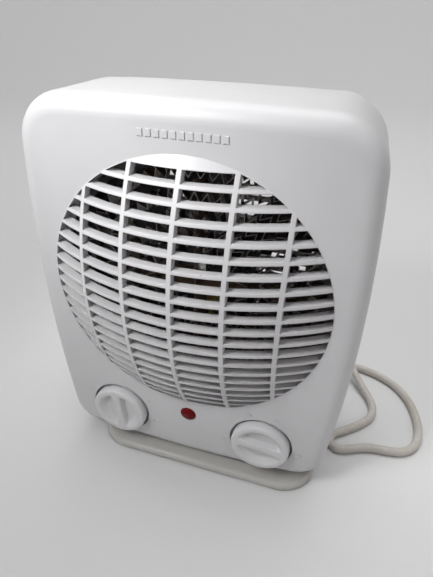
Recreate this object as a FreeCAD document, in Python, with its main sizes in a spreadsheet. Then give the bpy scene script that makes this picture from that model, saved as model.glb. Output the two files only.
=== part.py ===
"""Upright fan heater: domed slatted front, two knobs, ribbon-on-mica element, axial fan, mains cord.

Millimetres. +Z up, the front faces -Y, +X is to the right of someone facing the front.
The origin is on the floor at the middle of the heater's box, cord left out.
"""
import FreeCAD, Part
import Sketcher
import math
import os
import re

Vec = FreeCAD.Vector

SIZES = {
    # casing
    "body_width": 203.8, "body_top": 256.0, "body_low": 6.5, "depth": 132.0, "cover_depth": 62.0,
    "cover_wall": 2.2, "edge_round": 10.0, "top_corner": 29.0, "low_corner": 22.0, "side_bow": 950.0,
    "top_bow": 4000.0, "low_bow": 700.0, "widest_height": 131.0, "seam_gap": 0.4, "rear_wall": 2.0,
    "rear_round": 22.0, "lap": 5.0,
    # grille
    "grille_height": 146.0, "grille_radius": 85.0, "dome_rise": 26.4, "slat_pitch": 8.04,
    "slat_thick": 1.9, "rib_pitch": 28.7, "rib_thick": 2.6, "slat_depth": 5.0, "end_slot": 9.89,
    "rim_depth": 14.0, "intake_radius": 68.0, "intake_slot": 4.0, "intake_pitch": 8.0, "intake_bar": 3.0,
    # knobs and lamp
    "knob_x": 53.0, "knob_height": 38.5, "knob_radius": 20.3, "knob_proud": 5.5, "knob_gap": 1.6,
    "well_depth": 5.0, "knob_floor_gap": 0.8, "scoop_radius": 16.4, "scoop_depth": 4.0, "grip_width": 6.0,
    "dial_angle": 5.0, "mode_angle": 83.0, "spindle_radius": 3.0, "spindle_gap": 0.05,
    "spindle_hole": 5.0, "lens_radius": 5.6, "lens_height": 49.4, "lens_proud": 2.4, "mark_raise": 0.35,
    # foot
    "foot_width": 167.6, "foot_length": 99.0, "foot_front": 6.6, "foot_corner": 25.0, "foot_thick": 4.8,
    "foot_offset": 8.2, "foot_lift": 1.5, "foot_screw_x": 50.0, "pad_width": 130.0, "pad_length": 70.0,
    "rubber_radius": 6.0,
    # air path and element
    "duct_inset": 5.0, "duct_wall": 1.4, "duct_length": 43.0, "board_start": 17.0, "board_length": 22.0,
    "board_thick": 0.8, "ribbon_width": 6.0, "ribbon_thick": 0.35, "ribbon_wave": 3.2,
    "ribbon_step": 3.6, "ribbon_first": 30.0, "ribbon_edge": 8.0,
    # fan and motor
    "fan_start": 42.0, "fan_length": 16.0, "blade_gap": 6.0, "hub_radius": 19.0, "blade_thick": 1.6,
    "shaft_radius": 2.0, "bush_gap": 0.03, "rotor_radius": 13.9, "air_gap": 0.4, "stack_start": 66.0,
    "stack_thick": 16.0, "bridge_thick": 2.0, "strip_thick": 1.5,
    # screws
    "screw_radius": 1.5, "screw_head": 3.2, "screw_head_thick": 2.2, "boss_radius": 4.6,
    # cord and plug
    "cord_radius": 3.2, "cord_x": 30.0, "cord_height": 34.0, "gland_length": 20.0, "coil_x": -22.0,
    "coil_y": 142.0, "coil_mean": 35.0, "coil_half": 6.4, "plug_x": 36.0, "plug_y": 184.0, "plug_length": 34.0,
    "plug_radius": 17.6, "plug_thick": 26.0, "pin_radius": 2.4, "pin_length": 19.0, "pin_spacing": 19.0,
}

PLACES = {
    "panel_y": "dome_rise - depth / 2",
    "seam_y": "panel_y + cover_depth",
    "back_y": "depth / 2",
    "half_width": "body_width / 2",
    "rear_inset": "cover_wall + seam_gap",
    "dome_foot": "grille_radius + 0.6",
    "dome_radius": "(dome_foot ^ 2 + dome_rise ^ 2) / (2 * dome_rise)",
    "dome_y": "panel_y - dome_rise + dome_radius",
    "well_radius": "knob_radius + knob_gap",
    "well_floor_y": "panel_y + well_depth",
    "switch_y": "well_floor_y + cover_wall",
    "rear_start_y": "seam_y - lap",
    "boss_x": "half_width - 18",
    "high_boss": "body_top - 28",
    "low_boss": "body_low + 24",
    "duct_y": "panel_y + rim_depth + 1.4",
    "duct_radius": "grille_radius - duct_inset",
    "duct_out": "duct_radius + duct_wall",
    "ear_radius": "grille_radius + cover_wall + boss_radius + 0.2",
    "ribbon_pitch": "(duct_radius - ribbon_edge - ribbon_first) / 3",
    "blade_radius": "duct_radius - blade_gap",
    "board_y": "panel_y + board_start",
    "fan_y": "panel_y + fan_start",
    "stack_y": "panel_y + stack_start",
    "strip_y": "stack_y + stack_thick + 6",
    "foot_front_y": "panel_y - foot_front",
    "foot_top": "foot_lift + foot_thick",
}

doc = FreeCAD.newDocument("fan_heater")
sheet = doc.addObject("Spreadsheet::Sheet", "Sizes")
for row, (alias, number) in enumerate(SIZES.items(), start=1):
    sheet.set(f"A{row}", alias)
    sheet.set(f"B{row}", str(number))
    sheet.setAlias(f"B{row}", alias)
places = doc.addObject("App::VarSet", "Places")
doc.recompute()

WORD = re.compile(r"[A-Za-z_]\w*")
nodes = {}


def cell(formula):
    """A formula in size names, written as FreeCAD reads it."""
    def swap(match):
        word = match.group(0)
        if word in SIZES:
            return "Sizes." + word
        return "Places." + word if word in PLACES else word
    return WORD.sub(swap, str(formula))


for name, formula in PLACES.items():
    places.addProperty("App::PropertyFloat", name)
    places.setExpression(name, cell(formula))
doc.recompute()


def val(name):
    """The number that a size or a place has now."""
    return float(getattr(sheet, name) if name in SIZES else getattr(places, name))


def amount(formula):
    """The number that a plain sum of size names has now."""
    return sum(val(word) if WORD.fullmatch(word) else float(word) for word in formula.split(" + "))


# ---------------------------------------------------------------- helpers

TURN_TO_Y = FreeCAD.Rotation(Vec(1, 0, 0), -90)
TURN_TO_X = FreeCAD.Rotation(Vec(0, 1, 0), 90)


def bind(item, **formulas):
    for prop, formula in formulas.items():
        item.setExpression(prop, cell(formula))
    return item


def place(item, x, y, z, turn=None):
    """Put an object at formulas x, y, z, turned first."""
    if turn is not None:
        item.Placement = FreeCAD.Placement(Vec(), turn)
    for axis, formula in zip("xyz", (x, y, z)):
        item.setExpression("Placement.Base." + axis, cell(formula))
    return item


def box(name, x, y, z, wide, deep, high):
    """A box from the corner x, y, z."""
    item = doc.addObject("Part::Box", name)
    bind(item, Length=wide, Width=deep, Height=high)
    return place(item, x, y, z)


def mid_box(name, x, y, z, wide, deep, high):
    """A box centred on x and z that starts at y."""
    return box(name, f"({x}) - ({wide}) / 2", y, f"({z}) - ({high}) / 2", wide, deep, high)


def rod(name, radius, length, x, y, z, turn=TURN_TO_Y):
    """A cylinder from x, y, z, along +Y unless turned another way."""
    item = doc.addObject("Part::Cylinder", name)
    bind(item, Radius=radius, Height=length)
    return place(item, x, y, z, turn)


def upright(name, radius, length, x, y, z):
    return rod(name, radius, length, x, y, z, FreeCAD.Rotation())


def cone(name, first, second, length, x, y, z, turn=TURN_TO_Y):
    item = doc.addObject("Part::Cone", name)
    bind(item, Radius1=first, Radius2=second, Height=length)
    return place(item, x, y, z, turn)


def fuse(name, *shapes):
    item = doc.addObject("Part::MultiFuse", name)
    item.Shapes = list(shapes)
    item.Refine = True
    return item


def cut(name, base, *tools):
    tool = tools[0] if len(tools) == 1 else fuse(name + "_tools", *tools)
    item = doc.addObject("Part::Cut", name)
    item.Base = base
    item.Tool = tool
    return item


def common(name, *shapes):
    item = doc.addObject("Part::MultiCommon", name)
    item.Shapes = list(shapes)
    return item


def group(name, *shapes):
    """Several separate solids that share one node."""
    item = doc.addObject("Part::Compound", name)
    item.Links = list(shapes)
    return item


def plain(name, shape):
    """A shape made with Part's own functions."""
    item = doc.addObject("Part::Feature", name)
    item.Shape = shape
    return item


def keep(item, label):
    """Make an object a sub-part, under the name that its file gets."""
    item.Label = label
    nodes[label] = item
    return item


def ring(name, outer, inner, length, x, y, z, turn=TURN_TO_Y):
    return cut(name, rod(name + "_full", outer, length, x, y, z, turn),
               rod(name + "_bore", inner, length, x, y, z, turn))


def screw(name, x, y, z, length, turn):
    """A pan-head screw whose shank runs from x, y, z along the turned axis and whose head is behind it."""
    along = turn.multVec(Vec(0, 0, 1))
    head = [f"{start} - ({step:g}) * screw_head_thick" for start, step in zip((x, y, z), along)]
    return fuse(name, rod(name + "_shank", "screw_radius", length, x, y, z, turn),
                rod(name + "_head", "screw_head", "screw_head_thick", *head, turn))


def part_body(name):
    return doc.addObject("PartDesign::Body", name)


def origin_plane(body, role):
    return next(item for item in body.Origin.OriginFeatures if item.Role == role)


def new_sketch(body, name, role, offset="0"):
    """A sketch on one of the body's origin planes, moved along that plane's normal."""
    sketch = body.newObject("Sketcher::SketchObject", name)
    sketch.AttachmentSupport = [(origin_plane(body, role), "")]
    sketch.MapMode = "FlatFace"
    sketch.setExpression("AttachmentOffset.Base.z", cell(offset))
    return sketch


def limit(sketch, label, formula, *constraint):
    """Add a named dimension and tie it to a formula."""
    index = sketch.addConstraint(Sketcher.Constraint(*constraint))
    sketch.renameConstraint(index, label)
    sketch.setExpression("Constraints." + label, cell(formula))


def circle(sketch, label, radius, x, y, number):
    """A circle whose centre is at formulas x and y of the sketch."""
    index = sketch.addGeometry(Part.Circle(Vec(*number, 0), Vec(0, 0, 1), 5.0))
    limit(sketch, label + "_r", radius, "Radius", index, 5.0)
    for axis, formula, start in (("X", x, number[0]), ("Y", y, number[1])):
        if formula == "0":
            line = -2 if axis == "X" else -1
            sketch.addConstraint(Sketcher.Constraint("PointOnObject", index, 3, line))
        else:
            limit(sketch, label + "_" + axis, formula, "Distance" + axis, -1, 1, index, 3, start)
    return index


def feature(body, kind, name, profile, **formulas):
    item = body.newObject("PartDesign::" + kind, name)
    item.Profile = profile
    bind(item, **formulas)
    return item


def pad(body, name, sketch, length, back=True):
    item = feature(body, "Pad", name, sketch, Length=length)
    item.Reversed = back
    return item


def edges_where(shape, test):
    """Names of the edges whose every sampled point passes the test."""
    names = []
    for index, edge in enumerate(shape.Edges, start=1):
        points = edge.discretize(5)
        if all(test(point) for point in points):
            names.append(f"Edge{index}")
    return names


def round_edges(body, name, base, test, radius):
    doc.recompute()
    item = body.newObject("PartDesign::Fillet", name)
    item.Base = (base, edges_where(base.Shape, test))
    bind(item, Radius=radius)
    doc.recompute()
    return item


def near(value, target, slack=0.05):
    return abs(value - target) < slack


# ---------------------------------------------------------------- outline of the casing

def corner_centre(first, first_radius, second, second_radius):
    """Where two circles cross, on the outer side: the centre of an arc that touches both bows."""
    dx, dz = second[0] - first[0], second[1] - first[1]
    apart = math.hypot(dx, dz)
    along = (apart ** 2 + first_radius ** 2 - second_radius ** 2) / (2 * apart)
    across = math.sqrt(first_radius ** 2 - along ** 2)
    middle = (first[0] + dx * along / apart, first[1] + dz * along / apart)
    spots = [(middle[0] + side * across * dz / apart, middle[1] - side * across * dx / apart)
             for side in (1, -1)]
    return max(spots, key=lambda spot: spot[0])


def outline_sketch(body, name, offset, inset):
    """The bowed, round-cornered outline of the casing, seen from the front, inset all round."""
    sketch = new_sketch(body, name, "XZ_Plane", offset)
    depth_in = amount(inset)
    side_r, top_r, low_r = (val(word) - depth_in for word in ("side_bow", "top_bow", "low_bow"))
    high_r, deep_r = val("top_corner") - depth_in, val("low_corner") - depth_in
    half, top, low = val("half_width") - depth_in, val("body_top") - depth_in, val("body_low") + depth_in
    right = (half - side_r, val("widest_height"))
    up, down = (0, top - top_r), (0, low + low_r)
    high = corner_centre(right, side_r - high_r, up, top_r - high_r)
    deep = corner_centre(down, low_r - deep_r, right, side_r - deep_r)
    left, left_high, left_deep = ((-x, z) for x, z in (right, high, deep))
    chain = [(right, side_r), (high, high_r), (up, top_r), (left_high, high_r),
             (left, side_r), (left_deep, deep_r), (down, low_r), (deep, deep_r)]

    def touch(first, second):
        """The point where a small arc runs into the large one that holds it."""
        (big, big_r), (small, _) = (first, second) if first[1] > second[1] else (second, first)
        dx, dz = small[0] - big[0], small[1] - big[1]
        size = math.hypot(dx, dz)
        return Vec(big[0] + dx * big_r / size, big[1] + dz * big_r / size, 0)

    for index, (centre, radius) in enumerate(chain):
        start = touch(chain[index - 1], chain[index])
        end = touch(chain[index], chain[(index + 1) % 8])
        angles = [math.atan2(point.y - centre[1], point.x - centre[0]) for point in (start, end)]
        if angles[1] < angles[0]:
            angles[1] += 2 * math.pi
        disc = Part.Circle(Vec(*centre, 0), Vec(0, 0, 1), radius)
        sketch.addGeometry(Part.ArcOfCircle(disc, *angles))
    for index in range(8):
        sketch.addConstraint(Sketcher.Constraint("Tangent", index, 2, (index + 1) % 8, 1))
    for label, index, word in (("side_right", 0, "side_bow"), ("high_right", 1, "top_corner"),
                               ("top", 2, "top_bow"), ("high_left", 3, "top_corner"),
                               ("side_left", 4, "side_bow"), ("deep_left", 5, "low_corner"),
                               ("low", 6, "low_bow"), ("deep_right", 7, "low_corner")):
        limit(sketch, label, f"{word} - ({inset})", "Radius", index, chain[index][1])
    for index, label, formula in ((2, "top_z", "body_top - top_bow"), (6, "low_z", "body_low + low_bow")):
        sketch.addConstraint(Sketcher.Constraint("PointOnObject", index, 3, -2))
        limit(sketch, label, formula, "DistanceY", -1, 1, index, 3, chain[index][0][1])
    for index, side in ((0, "right"), (4, "left")):
        sign = "" if side == "right" else "-"
        limit(sketch, "x_" + side, f"{sign}(half_width - side_bow)", "DistanceX", -1, 1, index, 3,
              chain[index][0][0])
        limit(sketch, "z_" + side, "widest_height", "DistanceY", -1, 1, index, 3, chain[index][0][1])
    return sketch


def outline_block(name, start, length, inset):
    """A solid with the casing's outline, from y = start."""
    body = part_body(name)
    pad(body, name + "_pad", outline_sketch(body, name + "_sketch", f"-({start})", inset), length)
    return body


# ---------------------------------------------------------------- front cover and grille

def rounded_block(name, start, length, inset, radius, far=False):
    """A casing-shaped block with one end rounded, the near one unless far."""
    body = outline_block(name, start, length, inset)
    block = body.Tip
    doc.recompute()
    ends = [point.y for edge in block.Shape.Edges for point in edge.discretize(2)]
    end = max(ends) if far else min(ends)
    round_edges(body, name + "_round", block, lambda point: near(point.y, end), radius)
    return body


def front_shell():
    block = rounded_block("front_block", "panel_y", "cover_depth", "0", "edge_round")
    room = rounded_block("front_room", "panel_y + cover_wall", "cover_depth", "cover_wall",
                         "edge_round - cover_wall")
    return cut("front_shell", block, room)


SLOT_ROWS = 20


def dome(name, radius):
    item = doc.addObject("Part::Sphere", name)
    bind(item, Radius=radius)
    return place(item, "0", "dome_y", "grille_height", TURN_TO_Y)


def grille_windows():
    """The gaps between the slats and ribs, cut off where they meet the grille's round edge."""
    half = SLOT_ROWS // 2
    rows = []
    for index in range(-half, half):
        low = f"slat_pitch * {index} + slat_thick / 2" if index > -half else "-end_slot * slat_pitch"
        high = f"slat_pitch * {index + 1} - slat_thick / 2" if index < half - 1 else "end_slot * slat_pitch"
        rows.append(box(f"row_{index + half}", "-2 * grille_radius", "panel_y - 2 * dome_rise",
                        f"grille_height + {low}", "4 * grille_radius", "4 * dome_rise",
                        f"({high}) - ({low})"))
    ribs = [mid_box(f"rib_{index + 2}", f"rib_pitch * {index}", "panel_y - 2 * dome_rise", "grille_height",
                    "rib_thick", "4 * dome_rise", "4 * grille_radius") for index in range(-2, 3)]
    return common("windows", cut("open_rows", group("rows", *rows), group("ribs", *ribs)),
                  rod("window_limit", "grille_radius", "4 * dome_rise", "0", "panel_y - 2 * dome_rise",
                      "grille_height"))


def grille_dome():
    """The solid dome and rim that the grille is cut from."""
    drum = rod("drum", "grille_radius + cover_wall", "dome_rise + rim_depth", "0", "panel_y - dome_rise",
               "grille_height")
    return common("dome_solid", drum, dome("dome_out", "dome_radius"))


def grille_back():
    """The room behind the slats, inside the rim."""
    return common("grille_back", dome("dome_in", "dome_radius - slat_depth"),
                  rod("back_limit", "grille_radius", "4 * dome_rise", "0", "panel_y - 2 * dome_rise",
                      "grille_height"))


def knob_well(name, x):
    """What a knob sits in: a round cup in the panel with a hole for the spindle."""
    cup = rod(name + "_cup", "well_radius + cover_wall", "well_depth + cover_wall", x, "panel_y",
              "knob_height")
    room = rod(name + "_room", "well_radius", "well_depth", x, "panel_y", "knob_height")
    hole = rod(name + "_hole", "spindle_hole", "well_depth + cover_wall * 2", x, "panel_y", "knob_height")
    return cup, [room, hole]


def dial_marks():
    """Small raised ticks and dots beside each knob, and a row of plain raised tiles above the grille."""
    marks = []
    raise_y = "panel_y - mark_raise"
    for side, angles in ((-1, (60, 105, -60)), (1, (-97, -20, 20, 97))):
        for index, angle in enumerate(angles):
            reach = "(well_radius + 4.5)"
            x = f"{side} * knob_x + {reach} * {math.sin(math.radians(angle)):.4f}"
            z = f"knob_height + {reach} * {math.cos(math.radians(angle)):.4f}"
            marks.append(rod(f"mark_{side + 1}_{index}", f"{0.9 + 0.35 * index:.2f}", "mark_raise + 0.5",
                             x, raise_y, z))
    for index in range(-5, 6):
        marks.append(mid_box(f"tile_{index + 5}", f"4.4 * {index}", raise_y, "grille_height + 94.5",
                             "3.0", "mark_raise + 0.5", "3.6"))
    return marks


def cover_boss(name, x, z, start, end):
    """A round post along Y with a pilot hole."""
    return (rod(name + "_post", "boss_radius", f"({end}) - ({start})", x, start, z),
            rod(name + "_pilot", "screw_radius", f"({end}) - ({start}) - 2", x, f"({start}) + 2", z))


CORNERS = [(f"{side} * boss_x", height) for side in (-1, 1) for height in ("high_boss", "low_boss")]
EARS = [(math.sin(math.radians(angle)), math.cos(math.radians(angle))) for angle in (0, 120, 240)]
FOOT_SCREWS = [(side, y) for side in (-1, 1) for y in ("panel_y + 44", "seam_y + 12")]


def build_front_cover():
    solids = [front_shell(), grille_dome()]
    holes = [grille_back(), grille_windows()]
    for name, x in (("dial_well", "-knob_x"), ("mode_well", "knob_x")):
        cup, rooms = knob_well(name, x)
        solids.append(cup)
        holes += rooms
    for index, (x, z) in enumerate(CORNERS):
        post, pilot = cover_boss(f"corner_{index}", x, z, "panel_y + cover_wall", "rear_start_y - 1")
        solids.append(post)
        holes.append(pilot)
    for index, (x, z) in enumerate(EARS):
        post, pilot = cover_boss(f"ear_boss_{index}", f"ear_radius * {x:.5f}",
                                 f"grille_height + ear_radius * {z:.5f}", "panel_y + cover_wall", "duct_y")
        solids.append(post)
        holes.append(pilot)
    for index, side in enumerate((-1, 1)):
        x = f"{side} * foot_screw_x"
        solids.append(upright(f"foot_boss_{index}", "boss_radius", "16", x, "panel_y + 44", "body_low + 3"))
        holes.append(upright(f"foot_pilot_{index}", "screw_radius", "16", x, "panel_y + 44", "body_low - 1"))
    holes.append(rod("lens_hole", "lens_radius", "cover_wall * 3", "0", "panel_y - cover_wall",
                     "lens_height"))
    solids += dial_marks()
    keep(cut("front_cover_cut", fuse("front_cover_solid", *solids), *holes), "front_cover")


# ---------------------------------------------------------------- rear cover and foot

def rear_shell():
    length = "back_y - rear_start_y"
    block = rounded_block("rear_block", "rear_start_y", length, "rear_inset", "rear_round", far=True)
    room = rounded_block("rear_room", "rear_start_y - rear_wall", length, "rear_inset + rear_wall",
                         "rear_round - rear_wall", far=True)
    return cut("rear_shell", block, room), block


def intake_slots():
    """Level air slots in a round field, with upright bars left between them."""
    rows = [mid_box(f"intake_{index + 8}", "0", "back_y - 2 * rear_wall",
                    f"grille_height + intake_pitch * {index}", "3 * intake_radius", "4 * rear_wall",
                    "intake_slot") for index in range(-8, 9)]
    bars = [mid_box(f"intake_bar_{index + 2}", f"intake_radius * 0.45 * {index}", "back_y - 3 * rear_wall",
                    "grille_height", "intake_bar", "6 * rear_wall", "4 * intake_radius")
            for index in range(-2, 3)]
    return common("intake", cut("intake_rows", group("intake_all", *rows), group("intake_bars", *bars)),
                  rod("intake_limit", "intake_radius", "6 * rear_wall", "0", "back_y - 3 * rear_wall",
                      "grille_height"))


def build_rear_cover():
    shell, block = rear_shell()
    posts = []
    holes = [intake_slots()]
    for index, (x, z) in enumerate(CORNERS):
        posts.append(rod(f"rear_post_{index}", "boss_radius", "back_y - rear_start_y", x, "rear_start_y", z))
        holes.append(rod(f"rear_hole_{index}", "screw_radius + 0.3", "depth", x, "rear_start_y - 1", z))
        holes.append(rod(f"rear_sink_{index}", "screw_head + 0.4", "depth", x, "rear_start_y + 4", z))
    solids = [shell, common("rear_posts", group("rear_post_group", *posts), block)]
    for index, side in enumerate((-1, 1)):
        x = f"{side} * foot_screw_x"
        solids.append(upright(f"rear_foot_boss_{index}", "boss_radius", "16", x, "seam_y + 12",
                              "body_low + rear_inset + 3"))
        holes.append(upright(f"rear_foot_pilot_{index}", "screw_radius", "16", x, "seam_y + 12",
                             "body_low - 1"))
    floor = "(body_low + rear_inset + 1.6)"
    solids.append(box("clamp_saddle", "cord_x - 12", "seam_y + 22", floor, "24", "9",
                      f"cord_height - cord_radius - {floor}"))
    solids.append(box("block_pillar", "cord_x - 8", "seam_y + 6", floor, "16", "10",
                      f"cord_height - 8 - {floor}"))
    for index, side in enumerate((-1, 1)):
        holes.append(upright(f"clamp_pilot_{index}", "1.2", "9", f"cord_x + {side} * 8",
                             "seam_y + 26.5", "cord_height - cord_radius - 9"))
    holes.append(rod("gland_hole", "cord_radius + 2.4", "4 * rear_wall", "cord_x", "back_y - 3 * rear_wall",
                     "cord_height"))
    keep(cut("rear_cover_cut", fuse("rear_cover_solid", *solids), *holes), "rear_cover")


RUBBER = [(side, y) for side in (-1, 1) for y in ("foot_front_y + 20", "foot_front_y + foot_length - 16")]


def build_foot():
    """A thin plate with round corners and a pad that fits the curved underside of the casing."""
    plate = part_body("foot_body")
    outline = new_sketch(plate, "foot_outline", "XY_Plane", "foot_lift")
    left, right = val("foot_offset") - val("foot_width") / 2, val("foot_offset") + val("foot_width") / 2
    front, back = val("foot_front_y"), val("foot_front_y") + val("foot_length")
    spots = [Vec(left, front), Vec(right, front), Vec(right, back), Vec(left, back)]
    for index in range(4):
        outline.addGeometry(Part.LineSegment(spots[index], spots[(index + 1) % 4]))
    for index in range(4):
        outline.addConstraint(Sketcher.Constraint("Coincident", index, 2, (index + 1) % 4, 1))
        outline.addConstraint(Sketcher.Constraint("Vertical" if index % 2 else "Horizontal", index))
    limit(outline, "left", "foot_offset - foot_width / 2", "DistanceX", -1, 1, 0, 1, left)
    limit(outline, "front", "foot_front_y", "DistanceY", -1, 1, 0, 1, front)
    limit(outline, "width", "foot_width", "DistanceX", 0, 1, 0, 2, right - left)
    limit(outline, "length", "foot_length", "DistanceY", 1, 1, 1, 2, back - front)
    slab = pad(plate, "foot_slab", outline, "foot_thick", back=False)
    doc.recompute()
    slab = round_edges(plate, "foot_corners", slab,
                       lambda point: any(near(point.x, spot.x) and near(point.y, spot.y) for spot in spots),
                       "foot_corner")
    top = val("foot_top")
    round_edges(plate, "foot_edge", slab, lambda point: near(point.z, top), "foot_thick * 0.6")
    raised = box("foot_pad", "foot_offset - pad_width / 2", "panel_y + edge_round + 1", "foot_lift + 2",
                 "pad_width", "pad_length", "12")
    under = cut("pad_fit", raised, outline_block("pad_front", "panel_y - 5", "cover_depth + 5", "0"),
                outline_block("pad_rear", "seam_y", "cover_depth", "rear_inset"))
    holes = []
    for index, (side, y) in enumerate(FOOT_SCREWS):
        x = f"{side} * foot_screw_x"
        holes.append(upright(f"foot_hole_{index}", "screw_radius + 0.3", "20", x, y, "0"))
        holes.append(upright(f"foot_sink_{index}", "screw_head + 0.3", "2.5", x, y, "0"))
    for index, (side, y) in enumerate(RUBBER):
        holes.append(upright(f"rubber_seat_{index}", "rubber_radius", "foot_lift + 1.5",
                             f"foot_offset + {side} * (foot_width / 2 - 12)", y, "0"))
    keep(cut("foot_cut", fuse("foot_solid", plate, under), *holes), "foot_plate")
    pads = [upright(f"rubber_{index}", "rubber_radius", "foot_lift + 1.5",
                    f"foot_offset + {side} * (foot_width / 2 - 12)", y, "0")
            for index, (side, y) in enumerate(RUBBER)]
    keep(group("rubber_group", *pads), "rubber_feet")
    up = FreeCAD.Rotation()
    keep(group("foot_screw_group", *[
        screw(f"foot_screw_{index}", f"{side} * foot_screw_x", y, "2.5", "12.5", up)
        for index, (side, y) in enumerate(FOOT_SCREWS)]), "foot_screws")


def build_cover_screws():
    inward = FreeCAD.Rotation(Vec(1, 0, 0), 90)
    keep(group("cover_screw_group", *[
        screw(f"cover_screw_{index}", x, "rear_start_y + 4", z, "14", inward)
        for index, (x, z) in enumerate(CORNERS)]), "cover_screws")


# ---------------------------------------------------------------- knobs, switches and lamp

def knob_shape(name, x, angle):
    """A round knob with a domed edge and two scoops that leave a grip bar across it."""
    height = "well_depth + knob_proud - knob_floor_gap"
    blank = part_body(name + "_blank")
    face = new_sketch(blank, name + "_face", "XZ_Plane", "-(panel_y - knob_proud)")
    circle(face, "edge", "knob_radius", x, "knob_height", (val("knob_x"), val("knob_height")))
    disc = pad(blank, name + "_disc", face, height)
    front = val("panel_y") - val("knob_proud")
    doc.recompute()
    round_edges(blank, name + "_rim", disc, lambda point: near(point.y, front), "1.6")
    scoops = cut(name + "_scoops",
                 rod(name + "_scoop_disc", "scoop_radius", "scoop_depth + 1", x,
                     "panel_y - knob_proud - 1", "knob_height"),
                 knob_bar(name, x, angle))
    hollow = ring(name + "_under", "knob_radius - 1.6", "spindle_radius + 2",
                  f"{height} - scoop_depth", x, "panel_y - knob_proud + scoop_depth + 1.8",
                  "knob_height")
    dot = rod(name + "_dot", "0.9", "0.6", f"{x} - (knob_radius - 2.2) * sin({angle} * 1 deg)",
              "panel_y - knob_proud - 0.1", f"knob_height + (knob_radius - 2.2) * cos({angle} * 1 deg)")
    bore = rod(name + "_bore", "spindle_radius", height, x, "panel_y - knob_proud + scoop_depth + 1.8",
               "knob_height")
    return cut(name + "_cut", blank, scoops, hollow, dot, bore)


def knob_bar(name, x, angle):
    """The grip bar left between the scoops, turned with the knob."""
    bar = doc.addObject("Part::Box", name + "_bar")
    bind(bar, Length="grip_width", Width="scoop_depth + 3", Height="2 * knob_radius")
    bar.Placement = FreeCAD.Placement(Vec(), FreeCAD.Rotation(Vec(0, -1, 0), val(angle)))
    half = "grip_width / 2"
    turn = f"{angle} * 1 deg"
    bar.setExpression("Placement.Rotation.Angle", cell(turn))
    bar.setExpression("Placement.Base.x",
                      cell(f"{x} - {half} * cos({turn}) + knob_radius * sin({turn})"))
    bar.setExpression("Placement.Base.y", cell("panel_y - knob_proud - 2"))
    bar.setExpression("Placement.Base.z",
                      cell(f"knob_height - {half} * sin({turn}) - knob_radius * cos({turn})"))
    return bar


def spindle_shape(name, x):
    """A round spindle from inside the knob into its switch."""
    start = "panel_y - knob_proud + scoop_depth + 1.8"
    return rod(name, "spindle_radius", f"switch_y + 9 - ({start})", x, start, "knob_height")


def switch_shape(name, x, wide, high, deep):
    """A switch body on the back of its well, with a round hole for the spindle."""
    shell = mid_box(name + "_box", x, "switch_y", "knob_height", wide, deep, high)
    bore = rod(name + "_bore", "spindle_radius + spindle_gap", "10", x, "switch_y - 0.5", "knob_height")
    tabs = [mid_box(f"{name}_tab_{index}", f"{x} + {offset}", f"switch_y + {deep}", "knob_height - 6",
                    "0.8", "8", "5") for index, offset in enumerate((-9, -3, 3, 9))]
    return cut(name + "_cut", fuse(name + "_fused", shell, *tabs), bore)


def build_controls():
    for name, x, angle in (("dial", "-knob_x", "dial_angle"), ("mode", "knob_x", "mode_angle")):
        label = {"dial": "thermostat", "mode": "selector"}[name]
        keep(knob_shape(name, x, angle), label + "_knob")
        keep(spindle_shape(name + "_spindle", x), label + "_spindle")
        keep(ring(name + "_spring", "spindle_radius + 2.7", "spindle_radius + 2", "3", x,
                  "well_floor_y - 3.6", "knob_height"), label + "_knob_spring")
    keep(switch_shape("thermostat_box", "-knob_x", "30", "26", "16"), "thermostat_body")
    keep(switch_shape("selector_box", "knob_x", "32", "28", "20"), "selector_switch")
    lens = fuse("lens_fused",
                rod("lens_stem", "lens_radius", "lens_proud + cover_wall - 1", "0", "panel_y - lens_proud + 1",
                    "lens_height"),
                cone("lens_cap", "lens_radius - 1.4", "lens_radius", "1", "0", "panel_y - lens_proud",
                     "lens_height"),
                rod("lens_flange", "lens_radius + 1.4", "1.2", "0", "panel_y + cover_wall", "lens_height"))
    keep(cut("lens_cut", lens, rod("lens_room", "3.4", "8", "0", "panel_y - lens_proud + 1.6",
                                   "lens_height")), "indicator_lens")
    keep(ring("lamp_holder_ring", "lens_radius + 1.4", "3.1", "7", "0", "panel_y + cover_wall + 1.2",
              "lens_height"), "lamp_holder")
    keep(fuse("lamp_fused", rod("lamp_tube", "2.9", "9", "0", "panel_y + 1.4", "lens_height"),
              cone("lamp_tip", "1.2", "2.9", "1.6", "0", "panel_y - 0.2", "lens_height"),
              rod("lamp_lead", "0.4", "7", "-1.2", "panel_y + 10.4", "lens_height"),
              rod("lamp_lead_two", "0.4", "7", "1.2", "panel_y + 10.4", "lens_height")), "neon_lamp")


# ---------------------------------------------------------------- air duct and heating element

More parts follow.
